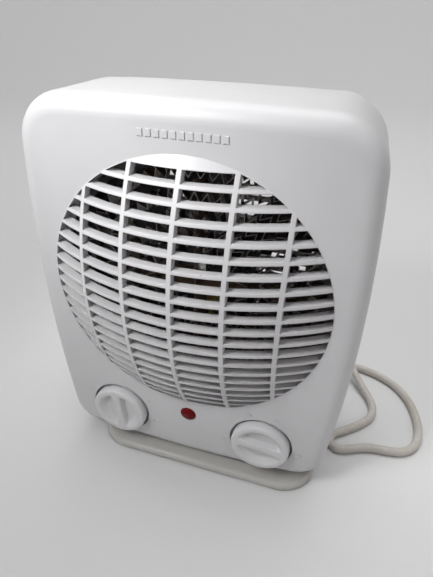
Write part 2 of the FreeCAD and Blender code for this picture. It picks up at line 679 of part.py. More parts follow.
def build_duct():
    flange = rod("duct_flange", "duct_out + 3", "1.5", "0", "duct_y", "grille_height")
    drum = rod("duct_drum", "duct_out", "duct_length", "0", "duct_y", "grille_height")
    ears, holes = [], []
    for index, (x, z) in enumerate(EARS):
        spot = (f"ear_radius * {x:.5f}", "duct_y", f"grille_height + ear_radius * {z:.5f}")
        ears.append(rod(f"duct_ear_{index}", "boss_radius + 1", "1.5", *spot))
        mid = (f"(ear_radius - 5) * {x:.5f}", "duct_y", f"grille_height + (ear_radius - 5) * {z:.5f}")
        ears.append(rod(f"duct_web_{index}", "boss_radius", "1.5", *mid))
        holes.append(rod(f"ear_hole_{index}", "screw_radius + 0.2", "4", spot[0], "duct_y - 1", spot[2]))
    pads = [mid_box(f"duct_pad_{side + 1}", f"{side} * (duct_radius - 0.4)", "duct_y + duct_length - 12",
                    "grille_height", "7.2", "12", "18") for side in (-1, 1)]
    holes.append(rod("duct_clear", "duct_radius", "2 * duct_length", "0", "duct_y - 5", "grille_height"))
    holes.append(upright("duct_wire_hole", "4", "12", "0", "board_y + board_length / 2",
                         "grille_height - duct_out - 5"))
    for side in (-1, 1):
        holes.append(rod(f"pad_hole_{side + 1}", "1.2", "8", f"{side} * (duct_radius + 3.2) - 4",
                         "duct_y + duct_length - 6", "grille_height", TURN_TO_X))
    keep(cut("duct_cut", fuse("duct_solid", flange, drum, *ears, *pads), *holes), "air_duct")
    inward = FreeCAD.Rotation(Vec(1, 0, 0), 90)
    keep(group("duct_screw_group", *[
        screw(f"duct_screw_{index}", f"ear_radius * {x:.5f}", "duct_y + 1.5",
              f"grille_height + ear_radius * {z:.5f}", "9", inward)
        for index, (x, z) in enumerate(EARS)]), "duct_screws")


RING_COUNT = 4


def ribbon_notches(name, upright_board):
    """Open notches at both long edges of a board, one for each turn of ribbon it carries."""
    notches = []
    width = "2 * ribbon_wave + 1.6"
    for turn in range(RING_COUNT):
        reach = f"(ribbon_first + ribbon_pitch * {turn})"
        for side in (-1, 1):
            for edge, y in (("front", "board_y - 1"), ("back", "board_y + board_length - ribbon_width")):
                label = f"{name}_{edge}_{turn}_{side + 1}"
                if upright_board:
                    notches.append(mid_box(label, "0", y, f"grille_height + {side} * {reach}", "4",
                                           "ribbon_width + 1", width))
                else:
                    notches.append(mid_box(label, f"{side} * {reach}", y, "grille_height", width,
                                           "ribbon_width + 1", "4"))
    return notches


def build_boards():
    """Two mica boards, halved into each other, that fill the duct from wall to wall."""
    span = "2 * duct_radius - 0.01"
    level = mid_box("level_blank", "0", "board_y", "grille_height", span, "board_length", "board_thick")
    stand = mid_box("stand_blank", "0", "board_y", "grille_height", "board_thick", "board_length", span)
    level_slot = mid_box("level_slot", "0", "board_y + board_length / 2", "grille_height", "board_thick",
                         "board_length", "4")
    stand_slot = mid_box("stand_slot", "0", "board_y - board_length / 2", "grille_height", "4",
                         "board_length", "board_thick")
    keep(cut("level_cut", level, level_slot, *ribbon_notches("level", False)), "mica_board_level")
    keep(cut("stand_cut", stand, stand_slot, *ribbon_notches("stand", True)), "mica_board_upright")


def wave_ring(radius):
    """A closed ribbon folded into a zigzag round a circle, as a flat face."""
    folds = 2 * round(math.pi * radius / val("ribbon_step"))

    def loop(shift):
        points = []
        for fold in range(folds):
            reach = radius + (val("ribbon_wave") if fold % 2 else -val("ribbon_wave")) + shift
            angle = 2 * math.pi * (fold + 0.5) / folds
            points.append(Vec(reach * math.cos(angle), 0, reach * math.sin(angle)))
        return Part.makePolygon(points + points[:1])
    step = val("ribbon_step")
    half = val("ribbon_thick") / 2 * math.hypot(2 * val("ribbon_wave"), step) / step

    outer, inner = Part.Face(loop(half)), Part.Face(loop(-half))
    return outer.cut(inner)


def build_ribbons():
    starts = {"ribbon_low": val("board_y"),
              "ribbon_high": val("board_y") + val("board_length") - val("ribbon_width")}
    for label, start in starts.items():
        rings = []
        for turn in range(RING_COUNT):
            radius = val("ribbon_first") + val("ribbon_pitch") * turn
            band = wave_ring(radius).extrude(Vec(0, val("ribbon_width"), 0))
            band.translate(Vec(0, start, val("grille_height")))
            rings.append(band)
        keep(plain(label + "_shape", Part.makeCompound(rings)), label)


def build_cutouts():
    """A bimetal cut-out and a thermal fuse on the upright board, near its middle."""
    middle = "board_y + board_length / 2"
    side = "board_thick / 2"
    disc = rod("cutout_disc", "7", "5", side, middle, "grille_height + 12", TURN_TO_X)
    blades = [box(f"cutout_blade_{index}", f"{side} + 1.5", f"{middle} - 2", f"grille_height + {height}",
                  "0.8", "4", "5") for index, height in enumerate((1.5, 17.5))]
    keep(fuse("cutout_fused", disc, *blades), "thermal_cutout")
    up = FreeCAD.Rotation()
    keep(fuse("fuse_fused", rod("fuse_can", "2", "11", f"-({side}) - 2", middle, "grille_height + 7", up),
              rod("fuse_lead_low", "0.5", "4", f"-({side}) - 2", middle, "grille_height + 3", up),
              rod("fuse_lead_high", "0.5", "4", f"-({side}) - 2", middle, "grille_height + 18", up)),
         "thermal_fuse")
    keep(group("terminal_group", *[
        box(f"terminal_{index}", f"{side}" if index else f"-({side}) - 3", f"{middle} - 2.5",
            "grille_height - duct_radius + 2.5", "3", "5", "7") for index in range(2)]),
        "element_terminals")


# ---------------------------------------------------------------- fan and motor

BLADES = 7


def build_fan():
    """A hub cup with twisted blades round it."""
    fan = part_body("fan_body")
    back = "fan_y + fan_length"
    face = new_sketch(fan, "hub_face", "XZ_Plane", "-fan_y")
    circle(face, "hub", "hub_radius", "0", "grille_height", (0, val("grille_height")))
    hub = pad(fan, "hub", face, "fan_length")
    doc.recompute()
    front = val("fan_y")
    round_edges(fan, "hub_round", hub, lambda point: near(point.y, front), "3")
    swept = plain("blades", Part.makeCompound([blade_shape(index) for index in range(BLADES)]))
    tools = [ring("hub_room", "hub_radius - 2", "shaft_radius + 3", "fan_length", "0", "fan_y + 3",
                  "grille_height"),
             rod("hub_bore", "shaft_radius", "fan_length * 3", "0", "fan_y - fan_length", "grille_height")]
    keep(fuse("fan_fused", cut("hub_cut", fan, *tools), swept), "fan_impeller")
    keep(ring("fan_clip_ring", "shaft_radius + 3", "shaft_radius", "2", "0", "fan_y - 2", "grille_height"),
         "fan_clip")


def blade_shape(index):
    """One blade: a loft from a steep root, set in the hub's wall, to a flatter, wider tip."""
    sections = []
    middle, thick = val("fan_y") + val("fan_length") / 2, val("blade_thick") / 2
    rise = val("fan_length") / 2 - 1.2
    for reach, chord in ((val("hub_radius") - 1.2, 17.0), (44.0, 30.0), (val("blade_radius"), 38.0)):
        half = chord / 2
        tilt = math.asin(rise / half)
        points = [Vec(along * math.cos(tilt) - across * math.sin(tilt),
                      middle + along * math.sin(tilt) + across * math.cos(tilt), reach)
                  for along, across in ((-half, -thick), (half, -thick), (half, thick), (-half, thick))]
        sections.append(Part.makePolygon(points + points[:1]))
    blade = Part.makeLoft(sections, True, True)
    blade.rotate(Vec(0, 0, 0), Vec(0, 1, 0), 360.0 / BLADES * index)
    blade.translate(Vec(0, 0, val("grille_height")))
    return blade


def build_motor():
    """A shaded-pole motor: a laminated frame with a coil on its low limb, and a bridge at each side."""
    z = "grille_height"
    stack = mid_box("stack_box", "0", "stack_y", f"{z} - 13", "56", "stack_thick", "66")
    window = mid_box("stack_window", "0", "stack_y - 1", f"{z} - 27", "34", "stack_thick + 2", "14")
    bore = rod("stack_bore", "rotor_radius + air_gap", "stack_thick + 2", "0", "stack_y - 1", z)
    bolts = [(side * 22, 11) for side in (-1, 1)]
    holes = [rod(f"stack_hole_{index}", "screw_radius", "stack_thick + 2", str(x), "stack_y - 1",
                 f"{z} + {up}") for index, (x, up) in enumerate(bolts)]
    keep(cut("stack_cut", stack, window, bore, *holes), "motor_stack")
    outer = mid_box("coil_box", "0", "stack_y - 7", f"{z} - 40", "30", "stack_thick + 14", "38")
    limb = mid_box("coil_limb", "0", "stack_y", f"{z} - 40", "40", "stack_thick", "12")
    wound = rod("coil_round", "22", "stack_thick + 14", "0", "stack_y - 7", f"{z} - 42.5")
    keep(cut("coil_cut", common("coil_in_window", outer, wound), limb), "motor_coil")
    keep(ring("rotor", "rotor_radius", "shaft_radius", "stack_thick", "0", "stack_y", z), "motor_rotor")
    keep(rod("shaft", "shaft_radius", "strip_y - fan_y", "0", "fan_y - 2", z), "motor_shaft")
    for label, y in (("front", "stack_y - 4 - bridge_thick"), ("rear", "stack_y + stack_thick + 1.8")):
        bar = mid_box(label + "_bar", "0", y, f"{z} + 4", "54", "bridge_thick", "24")
        step = [rod(f"{label}_leg_{index}", "4", "4" if label == "front" else "1.8", str(x),
                    "stack_y - 4" if label == "front" else "stack_y + stack_thick", f"{z} + {up}")
                for index, (x, up) in enumerate(bolts)]
        cuts = [rod(label + "_bush_hole", "5", "bridge_thick + 2", "0", f"{y} - 1", z)]
        cuts += [rod(f"{label}_bolt_hole_{index}", "screw_radius", "12", str(x),
                     "stack_y - 8" if label == "front" else "stack_y + stack_thick - 1", f"{z} + {up}")
                 for index, (x, up) in enumerate(bolts)]
        keep(cut(label + "_bridge_cut", fuse(label + "_bridge_fused", bar, *step), *cuts),
             "motor_bridge_" + label)
        keep(ring(label + "_bush_ring", "5", "shaft_radius + bush_gap", "bridge_thick + 0.6", "0",
                  f"{y} - 0.3" if label == "front" else y, z), "bush_" + label)
    build_bracket(bolts)


def build_bracket(bolts):
    """A steel strip behind the motor, bent forward at both ends and screwed to the duct."""
    z = "grille_height"
    reach = "duct_radius + 3.2"
    strip = mid_box("strip", "0", "strip_y", f"{z} + 11", f"2 * ({reach} + strip_thick)", "strip_thick", "16")
    parts, holes = [strip], []
    for side in (-1, 1):
        parts.append(mid_box(f"strip_leg_{side + 1}", f"{side} * ({reach} + strip_thick / 2)",
                             "duct_y + duct_length - 12", f"{z} + 6", "strip_thick",
                             "strip_y - duct_y - duct_length + 12 + strip_thick", "26"))
        holes.append(rod(f"strip_hole_{side + 1}", "1.2", "8", f"{side} * ({reach}) - 4",
                         "duct_y + duct_length - 6", z, TURN_TO_X))
    spacers = []
    for index, (x, up) in enumerate(bolts):
        holes.append(rod(f"strip_bolt_hole_{index}", "screw_radius", "6", str(x), "strip_y - 2",
                         f"{z} + {up}"))
        gap = "strip_y - (stack_y + stack_thick + 1.8 + bridge_thick)"
        spacers.append(ring(f"spacer_{index}", "3.5", "screw_radius", gap, str(x),
                            "stack_y + stack_thick + 1.8 + bridge_thick", f"{z} + {up}"))
    keep(cut("strip_cut", fuse("strip_fused", *parts), *holes), "motor_bracket")
    keep(group("spacer_group", *spacers), "motor_spacers")
    length = "strip_y + strip_thick - (stack_y - 4 - bridge_thick)"
    inward = FreeCAD.Rotation(Vec(1, 0, 0), 90)
    keep(group("motor_screw_group", *[
        screw(f"motor_screw_{index}", str(x), "strip_y + strip_thick", f"{z} + {up}", length, inward)
        for index, (x, up) in enumerate(bolts)]), "motor_screws")
    sideways = []
    for side in (-1, 1):
        turn = FreeCAD.Rotation(Vec(0, 1, 0), -90 * side)
        spot = (f"{side} * ({reach} + strip_thick)", "duct_y + duct_length - 6", z)
        shank = rod(f"bracket_shank_{side + 1}", "1.2", "strip_thick + 2.6", *spot, turn)
        head = rod(f"bracket_head_{side + 1}", "2.6", "1.6", f"{side} * ({reach} + strip_thick + 1.6)",
                   spot[1], z, turn)
        sideways.append(fuse(f"bracket_screw_{side + 1}", shank, head))
    keep(group("bracket_screw_group", *sideways), "bracket_screws")


# ---------------------------------------------------------------- cord, plug and wires

CORD_ROUTE = [
    (30, 86, 34), (30, 108, 34), (44, 128, 32), (68, 136, 28), (91, 127, 22), (106, 108, 16.5),
    (114.5, 88, 11), (123.5, 75, 6), (131, 64, 3.4), (134.5, 53, 3.2), (132.5, 42.5, 3.2), (126, 34, 3.2),
    (118, 26.5, 3.2), (109.5, 19.5, 3.2), (101.8, 14, 3.2), (101.3, 5.5, 3.2), (108, 0.8, 3.2),
    (117, 4.5, 3.2), (131, 10.8, 3.2), (146, 11.5, 3.2), (159, 14.5, 3.2), (167.5, 25, 3.2),
    (170.5, 40, 3.2), (169, 57, 3.2), (164, 73, 3.2), (154.5, 87, 3.2), (141, 96.5, 3.2),
    (124, 101.8, 3.2), (106, 104, 3.2), (88, 106, 3.2), (70, 105.8, 3.2), (52, 103.6, 3.2),
    (34, 100.2, 3.2), (16, 99.4, 3.2), (-2, 101.5, 3.2), (-18, 105, 3.2)]
TAIL_ROUTE = [(-22, 180.2, 3.2), (-9, 181.3, 3.4), (0, 182.8, 6.4), (7, 184, 11), (14, 184, 13), (22, 184, 13)]


def rounded_path(points):
    """Straight runs joined by tangent arcs, as large as the runs at each point allow."""
    spots = [Vec(*point) for point in points]
    edges, radii, at = [], [], spots[0]
    for before, corner, after in zip(spots, spots[1:], spots[2:]):
        back, ahead = before - corner, after - corner
        reach = 0.45 * min(back.Length, ahead.Length)
        half_turn = (math.pi - back.getAngle(ahead)) / 2
        radii.append(reach / math.tan(half_turn))
        back.normalize()
        ahead.normalize()
        start, end = corner + back * reach, corner + ahead * reach
        inward = back + ahead
        inward.normalize()
        middle = corner + inward * (radii[-1] / math.cos(half_turn) - radii[-1])
        edges += [Part.LineSegment(at, start).toShape(), Part.Arc(start, middle, end).toShape()]
        at = end
    edges.append(Part.LineSegment(at, spots[-1]).toShape())
    return Part.Wire(edges), radii


def tube(points, radius, name):
    """A round tube along a rounded path; its volume must be its section times its length."""
    path, radii = rounded_path(points)
    start = Vec(*points[0])
    section = Part.Wire(Part.Circle(start, Vec(*points[1]) - start, radius).toShape())
    solid = path.makePipeShell([section], True, False)
    ratio = solid.Volume / (math.pi * radius ** 2 * path.Length)
    print(f"{name}: length {path.Length:.1f}, radii {min(radii):.1f} to {max(radii):.1f}, "
          f"volume ratio {ratio:.4f}")
    if name.startswith("cord"):
        print("  radii", " ".join(f"{value:.0f}" for value in radii))
    if abs(ratio - 1) > 0.01:
        raise ValueError(name + " is not a plain tube")
    return solid


def build_cord():
    radius = val("cord_radius")
    keep(plain("cord_shape", tube(CORD_ROUTE, radius, "cord")), "cord")
    keep(plain("tail_shape", tube(TAIL_ROUTE, radius, "cord_tail")), "cord_tail")
    turns = ring("coil_ring", "coil_mean + coil_half", "coil_mean - coil_half", "4 * cord_radius",
                 "coil_x", "coil_y", "0", FreeCAD.Rotation())
    keep(turns, "cord_coil")
    band = cut("tie_cut",
               mid_box("tie_outer", "coil_x - coil_mean", "coil_y - 3", "2 * cord_radius + 0.3",
                       "2 * coil_half + 3.2", "6", "4 * cord_radius + 1.8"),
               mid_box("tie_inner", "coil_x - coil_mean", "coil_y - 4", "2 * cord_radius - 0.4",
                       "2 * coil_half + 1", "8", "4 * cord_radius + 1.2"),
               box("tie_floor", "coil_x - 2 * coil_mean", "coil_y - 10", "-5", "2 * coil_mean", "20", "5"))
    keep(band, "coil_tie")
    keep(fuse("gland_fused",
              rod("gland_inside", "cord_radius + 4", "3", "cord_x", "back_y - rear_wall - 3.6",
                  "cord_height"),
              rod("gland_neck", "cord_radius + 2.4", "rear_wall + 0.6", "cord_x",
                  "back_y - rear_wall - 0.6", "cord_height"),
              rod("gland_collar", "cord_radius + 3.4", "2.4", "cord_x", "back_y", "cord_height"),
              cone("gland_boot", "cord_radius + 2.6", "cord_radius + 0.8", "gland_length - 2.4", "cord_x",
                   "back_y + 2.4", "cord_height")), "strain_relief")
    keep(rod("inner_cord_rod", "cord_radius", "back_y - rear_wall - 3.6 - (seam_y + 16)", "cord_x",
             "seam_y + 16", "cord_height"), "inner_cord")


def build_plug():
    body = common("plug_round",
                  rod("plug_rod", "plug_radius", "plug_length", "plug_x", "plug_y", "plug_thick / 2", TURN_TO_X),
                  box("plug_flat", "plug_x - 1", "plug_y - 2 * plug_radius", "0", "plug_length + 2",
                      "4 * plug_radius", "plug_thick"))
    boot = cone("plug_boot", "cord_radius + 0.8", "cord_radius + 4", "14", "plug_x - 14", "plug_y",
                "plug_thick / 2", TURN_TO_X)
    pins = []
    for side in (-1, 1):
        y = f"plug_y + {side} * pin_spacing / 2"
        pins.append(rod(f"pin_{side + 1}", "pin_radius", "pin_length", "plug_x + plug_length", y,
                        "plug_thick / 2", TURN_TO_X))
    keep(fuse("plug_fused", body, boot), "plug_body")
    keep(group("pin_group", *pins), "plug_pins")


def build_wiring():
    block = mid_box("block_box", "cord_x", "seam_y + 4", "cord_height", "26", "12", "16")
    sinks = [upright(f"block_sink_{index}", "2.2", "4", f"cord_x + {index - 1} * 8.5", "seam_y + 12",
                     "cord_height + 5") for index in range(3)]
    keep(cut("block_cut", block, *sinks), "terminal_block")
    down = FreeCAD.Rotation(Vec(1, 0, 0), 180)
    keep(group("block_screw_group", *[
        rod(f"block_screw_{index}", "2.1", "2", f"cord_x + {index - 1} * 8.5", "seam_y + 12",
            "cord_height + 7", down) for index in range(3)]), "terminal_screws")
    top = "cord_height + cord_radius"
    holes = [upright(f"bar_hole_{index}", "1.4", "5", f"cord_x + {side} * 8", "seam_y + 26.5", f"{top} - 1")
             for index, side in enumerate((-1, 1))]
    keep(cut("clamp_cut", box("clamp_bar", "cord_x - 12", "seam_y + 23", top, "24", "7", "3"), *holes),
         "cord_clamp")
    keep(group("clamp_screw_group", *[
        fuse(f"clamp_screw_{index}",
             rod(f"clamp_shank_{index}", "1.2", "17", f"cord_x + {side} * 8", "seam_y + 26.5",
                 f"{top} + 3", down),
             upright(f"clamp_head_{index}", "2.6", "1.8", f"cord_x + {side} * 8", "seam_y + 26.5",
                     f"{top} + 3"))
        for index, side in enumerate((-1, 1))]), "clamp_screws")
    build_wires()


def build_wires():
    """Insulated wires between the blocks; each ends flat on what it serves."""
    knob_x, tab_z = val("knob_x"), val("knob_height") - 6
    dial_tab, mode_tab = val("switch_y") + 24, val("switch_y") + 28
    block_y, block_x, block_z = val("seam_y") + 4, val("cord_x"), val("cord_height")
    mid_y = val("board_y") + val("board_length") / 2
    low = val("grille_height") - val("duct_radius") + 2.5
    coil_y, coil_z = val("stack_y") + 8, val("grille_height") - 59
    routes = [
        [(block_x - 8.5, block_y, block_z), (block_x - 8.5, block_y - 14, block_z + 1),
         (-knob_x + 40, dial_tab + 14, tab_z + 2), (-knob_x + 9, dial_tab + 10, tab_z),
         (-knob_x + 9, dial_tab, tab_z)],
        [(block_x, block_y, block_z), (block_x, block_y - 12, block_z), (knob_x - 9, mode_tab + 10, tab_z),
         (knob_x - 9, mode_tab, tab_z)],
        [(block_x + 8.5, block_y, block_z), (block_x + 9, block_y - 10, block_z),
         (knob_x - 3, mode_tab + 9, tab_z), (knob_x - 3, mode_tab, tab_z)],
        [(-knob_x + 3, dial_tab, tab_z), (-knob_x + 3, dial_tab + 8, tab_z + 2),
         (-18, mid_y + 2, tab_z + 14), (-1.9, mid_y, low - 14), (-1.9, mid_y, low)],
        [(knob_x + 3, mode_tab, tab_z), (knob_x + 3, mode_tab + 8, tab_z + 3),
         (22, mid_y + 2, tab_z + 16), (1.9, mid_y, low - 14), (1.9, mid_y, low)],
        [(-6, coil_y, coil_z), (-6, coil_y, coil_z - 22), (block_x - 6, block_y + 3, block_z + 20),
         (block_x - 4.25, block_y + 3, block_z + 8)],
        [(6, coil_y, coil_z), (6, coil_y, coil_z - 18), (block_x + 2, block_y + 3, block_z + 22),
         (block_x + 4.25, block_y + 3, block_z + 8)],
    ]
    wires = [tube(route, 0.9, f"wire {index}") for index, route in enumerate(routes)]
    keep(plain("wire_shapes", Part.makeCompound(wires)), "internal_wires")


# ---------------------------------------------------------------- build, check and write

for build in (build_front_cover, build_rear_cover, build_foot, build_cover_screws, build_controls,
              build_duct, build_boards, build_ribbons, build_cutouts, build_fan, build_motor, build_cord,
              build_plug, build_wiring):
    build()
doc.recompute()

for item in doc.Objects:
    if "Invalid" in item.State or "Error" in item.State:
        raise RuntimeError(f"{item.Name} failed: {item.getStatusString()}")
for label, item in nodes.items():
    if item.Shape.isNull() or not item.Shape.isValid() or not item.Shape.Solids:
        raise RuntimeError(label + " has no valid solid")

os.makedirs("parts", exist_ok=True)
for label, item in nodes.items():
    item.Shape.exportStep(f"parts/{label}.step")
print(len(nodes), "nodes written")
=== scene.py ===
"""Looks of an upright fan heater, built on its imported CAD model. Metres, +Z up, the front faces -Y."""
import math

import bpy
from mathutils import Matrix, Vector


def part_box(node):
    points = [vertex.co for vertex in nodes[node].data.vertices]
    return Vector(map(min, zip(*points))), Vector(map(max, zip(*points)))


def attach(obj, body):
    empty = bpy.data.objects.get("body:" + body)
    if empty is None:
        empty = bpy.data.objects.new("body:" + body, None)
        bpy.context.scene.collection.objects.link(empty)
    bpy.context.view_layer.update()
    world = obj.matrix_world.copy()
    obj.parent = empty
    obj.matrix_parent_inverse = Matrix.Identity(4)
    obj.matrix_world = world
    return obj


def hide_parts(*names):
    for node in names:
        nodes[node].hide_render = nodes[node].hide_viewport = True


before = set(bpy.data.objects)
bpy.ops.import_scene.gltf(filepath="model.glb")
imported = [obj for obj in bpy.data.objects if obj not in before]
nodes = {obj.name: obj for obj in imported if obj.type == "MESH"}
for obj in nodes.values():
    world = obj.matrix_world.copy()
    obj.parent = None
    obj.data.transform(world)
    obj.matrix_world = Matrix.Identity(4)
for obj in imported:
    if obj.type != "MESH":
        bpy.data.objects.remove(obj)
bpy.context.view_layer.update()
MM = 0.001

# Sizes in millimetres, but the floor's in metres.
CORD_RADIUS = 3.2
COIL_MIDDLE = (-22, 142)
COIL_RADIUS = 38.2
COIL_TURNS = 3.5
COIL_STEPS = 16
KNOB_RADIUS = 20.3
KNOB_STEPS = 160
FLOOR_REACH = 1.5
FLOOR_STEPS = 96


def middle(node):
    low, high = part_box(node)
    return (Vector(low) + Vector(high)) / 2


# ---------------------------------------------------------------- camera

lens = bpy.data.cameras.new("camera")
lens.sensor_width = 36.0
lens.lens = 27.46
lens.clip_start = 0.01
camera = bpy.data.objects.new("camera", lens)
camera.location = (0.0784, -0.2398, 0.2925)
camera.rotation_euler = (math.radians(57.32), math.radians(-1.04), math.radians(17.22))
bpy.context.scene.collection.objects.link(camera)
bpy.context.scene.camera = camera


# ---------------------------------------------------------------- materials

class Paint:
    """A node material on one Principled shader, with textures that follow the part."""

    def __init__(self, name, color, rough, metal=0.0, **sockets):
        self.material = bpy.data.materials.new(name)
        self.material.use_nodes = True
        self.tree = self.material.node_tree
        self.shader = self.tree.nodes["Principled BSDF"]
        self.shader.inputs["Base Color"].default_value = (*color, 1)
        self.shader.inputs["Roughness"].default_value = rough
        self.shader.inputs["Metallic"].default_value = metal
        for socket, value in sockets.items():
            self.shader.inputs[socket.replace("_", " ")].default_value = value
        self.rough = rough
        self.place = self.tree.nodes.new("ShaderNodeTexCoord").outputs["Object"]

    def link(self, start, end):
        self.tree.links.new(start, end)

    def noise(self, scale, detail=2.0, stretch=None):
        node = self.tree.nodes.new("ShaderNodeTexNoise")
        node.inputs["Scale"].default_value = scale
        node.inputs["Detail"].default_value = detail
        self.link(self.stretched(stretch), node.inputs["Vector"])
        return node.outputs["Fac"]

    def stretched(self, stretch):
        if stretch is None:
            return self.place
        node = self.tree.nodes.new("ShaderNodeMapping")
        node.inputs["Scale"].default_value = stretch
        self.link(self.place, node.inputs["Vector"])
        return node.outputs["Vector"]

    def band(self, value, low, high, out_low=0.0, out_high=1.0):
        node = self.tree.nodes.new("ShaderNodeMapRange")
        node.inputs["From Min"].default_value = low
        node.inputs["From Max"].default_value = high
        node.inputs["To Min"].default_value = out_low
        node.inputs["To Max"].default_value = out_high
        self.link(value, node.inputs["Value"])
        return node.outputs["Result"]

    def blend(self, fac, second):
        """Mix a second colour over the colour so far."""
        node = self.tree.nodes.new("ShaderNodeMix")
        node.data_type = "RGBA"
        self.link(fac, node.inputs["Factor"])
        base = self.shader.inputs["Base Color"]
        if base.is_linked:
            self.link(base.links[0].from_socket, node.inputs["A"])
        else:
            node.inputs["A"].default_value = base.default_value
        node.inputs["B"].default_value = (*second, 1)
        self.link(node.outputs["Result"], base)
        return self

    def mottle(self, scale, second, low=0.35, high=0.7, **more):
        return self.blend(self.band(self.noise(scale, **more), low, high), second)

    def uneven(self, scale, spread, **more):
        """Roughness that wanders either side of its mean."""
        self.link(self.band(self.noise(scale, **more), 0.3, 0.7, self.rough - spread, self.rough + spread),
                  self.shader.inputs["Roughness"])
        return self

    def bump(self, value, distance):
        node = self.tree.nodes.new("ShaderNodeBump")
        node.inputs["Distance"].default_value = distance
        self.link(value, node.inputs["Height"])
        normal = self.shader.inputs["Normal"]
        if normal.is_linked:
            self.link(normal.links[0].from_socket, node.inputs["Normal"])
        self.link(node.outputs["Normal"], normal)
        return self

    def soft_edges(self, radius):
        """Rounded highlights on the moulded part's sharp edges."""
        node = self.tree.nodes.new("ShaderNodeBevel")
        node.inputs["Radius"].default_value = radius
        self.link(node.outputs["Normal"], self.shader.inputs["Normal"])
        return self

    def grain(self, scale, distance, **more):
        return self.bump(self.noise(scale, **more), distance)

    def specks(self, scale, size, share, second):
        """Sparse small spots: only some of the cells of a Voronoi pattern carry one."""
        node = self.tree.nodes.new("ShaderNodeTexVoronoi")
        node.inputs["Scale"].default_value = scale
        self.link(self.place, node.inputs["Vector"])
        spot = self.band(node.outputs["Distance"], size, size * 0.6)
        parts = self.tree.nodes.new("ShaderNodeSeparateColor")
        self.link(node.outputs["Color"], parts.inputs["Color"])
        chosen = self.band(parts.outputs["Red"], 1 - share, 1 - share + 0.01)
        both = self.tree.nodes.new("ShaderNodeMath")
        both.operation = "MULTIPLY"
        self.link(spot, both.inputs[0])
        self.link(chosen, both.inputs[1])
        return self.blend(both.outputs["Value"], second)

    def dusty(self, second, amount):
        """Dust on faces that look up, in soft patches."""
        face = self.tree.nodes.new("ShaderNodeNewGeometry")
        split = self.tree.nodes.new("ShaderNodeSeparateXYZ")
        self.link(face.outputs["Normal"], split.inputs["Vector"])
        up = self.band(split.outputs["Z"], 0.55, 1.0)
        patch = self.band(self.noise(160, detail=5.0), 0.4, 0.75, 0.0, amount)
        both = self.tree.nodes.new("ShaderNodeMath")
        both.operation = "MULTIPLY"
        self.link(up, both.inputs[0])
        self.link(patch, both.inputs[1])
        return self.blend(both.outputs["Value"], second)


def moulded(name, color, rough, **sockets):
    """Moulded plastic: faint flow mottling, fine eroded grain, uneven gloss."""
    shade = tuple(channel * 0.93 for channel in color)
    paint = Paint(name, color, rough, **sockets).soft_edges(0.0007)
    paint.mottle(14, shade, detail=3.0)
    paint.uneven(45, 0.05, detail=4.0)
    paint.grain(2600, 0.00003, detail=3.0)
    return paint.grain(70, 0.00004, detail=1.0)


def sheet_metal(name, color, rough):
    """Plain rolled or drawn metal, brushed along one way."""
    dull = tuple(channel * 0.72 for channel in color)
    paint = Paint(name, color, rough, 1.0)
    paint.mottle(60, dull, detail=5.0)
    paint.uneven(300, 0.09, detail=4.0, stretch=(1, 1, 12))
    return paint.grain(900, 0.00002, detail=3.0, stretch=(1, 1, 25))


# The duct's near-black colour is painted shade: it stands in for the dark inside of the casing behind the
# grille.
shade_darkened_duct_steel = sheet_metal("duct_metal_painted_shade", (0.10, 0.095, 0.09), 0.5)
casing = moulded("casing_plastic", (0.60, 0.593, 0.605), 0.42)
casing.specks(55, 0.035, 0.12, (0.20, 0.19, 0.18)).specks(38, 0.022, 0.10, (0.95, 0.95, 0.95))
casing.dusty((0.62, 0.60, 0.57), 0.25)
knob_paint = moulded("knob_plastic", (0.65, 0.645, 0.655), 0.34)
foot_paint = moulded("foot_plastic", (0.50, 0.485, 0.465), 0.40)
foot_paint.specks(70, 0.04, 0.15, (0.25, 0.23, 0.21)).dusty((0.48, 0.46, 0.43), 0.4)
rubber = Paint("rubber_pad", (0.035, 0.035, 0.036), 0.75).mottle(120, (0.07, 0.068, 0.065))
rubber.grain(1500, 0.00006, detail=4.0)
dark_plastic = moulded("switch_plastic", (0.03, 0.03, 0.033), 0.45)
fan_paint = moulded("fan_plastic", (0.022, 0.022, 0.025), 0.38).dusty((0.16, 0.15, 0.13), 0.6)
steel = sheet_metal("plain_steel", (0.56, 0.555, 0.54), 0.36)
screw_steel = sheet_metal("zinc_steel", (0.60, 0.60, 0.58), 0.30)
bright = sheet_metal("terminal_metal", (0.78, 0.77, 0.74), 0.25)
bronze = Paint("sintered_bronze", (0.42, 0.27, 0.12), 0.48, 1.0).mottle(500, (0.22, 0.13, 0.06))
bronze.grain(2200, 0.00005, detail=4.0)
brass = Paint("pin_brass", (0.72, 0.56, 0.27), 0.24, 1.0).mottle(140, (0.50, 0.37, 0.16), detail=4.0)
brass.uneven(400, 0.08, stretch=(0.1, 1, 1))
# The heating ribbon and the mica board are coloured darker than their own colours: painted shade for the
# dark inside of the casing behind the grille.
ribbon = Paint("heating_ribbon", (0.34, 0.32, 0.31), 0.33, 1.0)
ribbon.mottle(45, (0.20, 0.15, 0.11), 0.42, 0.7, detail=4.0).grain(700, 0.00003, detail=3.0)
mica = Paint("mica_board", (0.12, 0.075, 0.05), 0.55)
mica.mottle(55, (0.07, 0.042, 0.03), detail=6.0).mottle(420, (0.26, 0.20, 0.14), 0.60, 0.8, detail=3.0)
mica.uneven(500, 0.15, detail=3.0).grain(650, 0.00008, detail=5.0)
iron = Paint("stacked_iron", (0.17, 0.17, 0.18), 0.5, 0.9).mottle(90, (0.24, 0.16, 0.11), 0.55, 0.8)
leaves = iron.tree.nodes.new("ShaderNodeTexWave")
leaves.bands_direction = "Y"
leaves.inputs["Scale"].default_value = 320
iron.link(iron.place, leaves.inputs["Vector"])
iron.bump(leaves.outputs["Fac"], 0.0001)
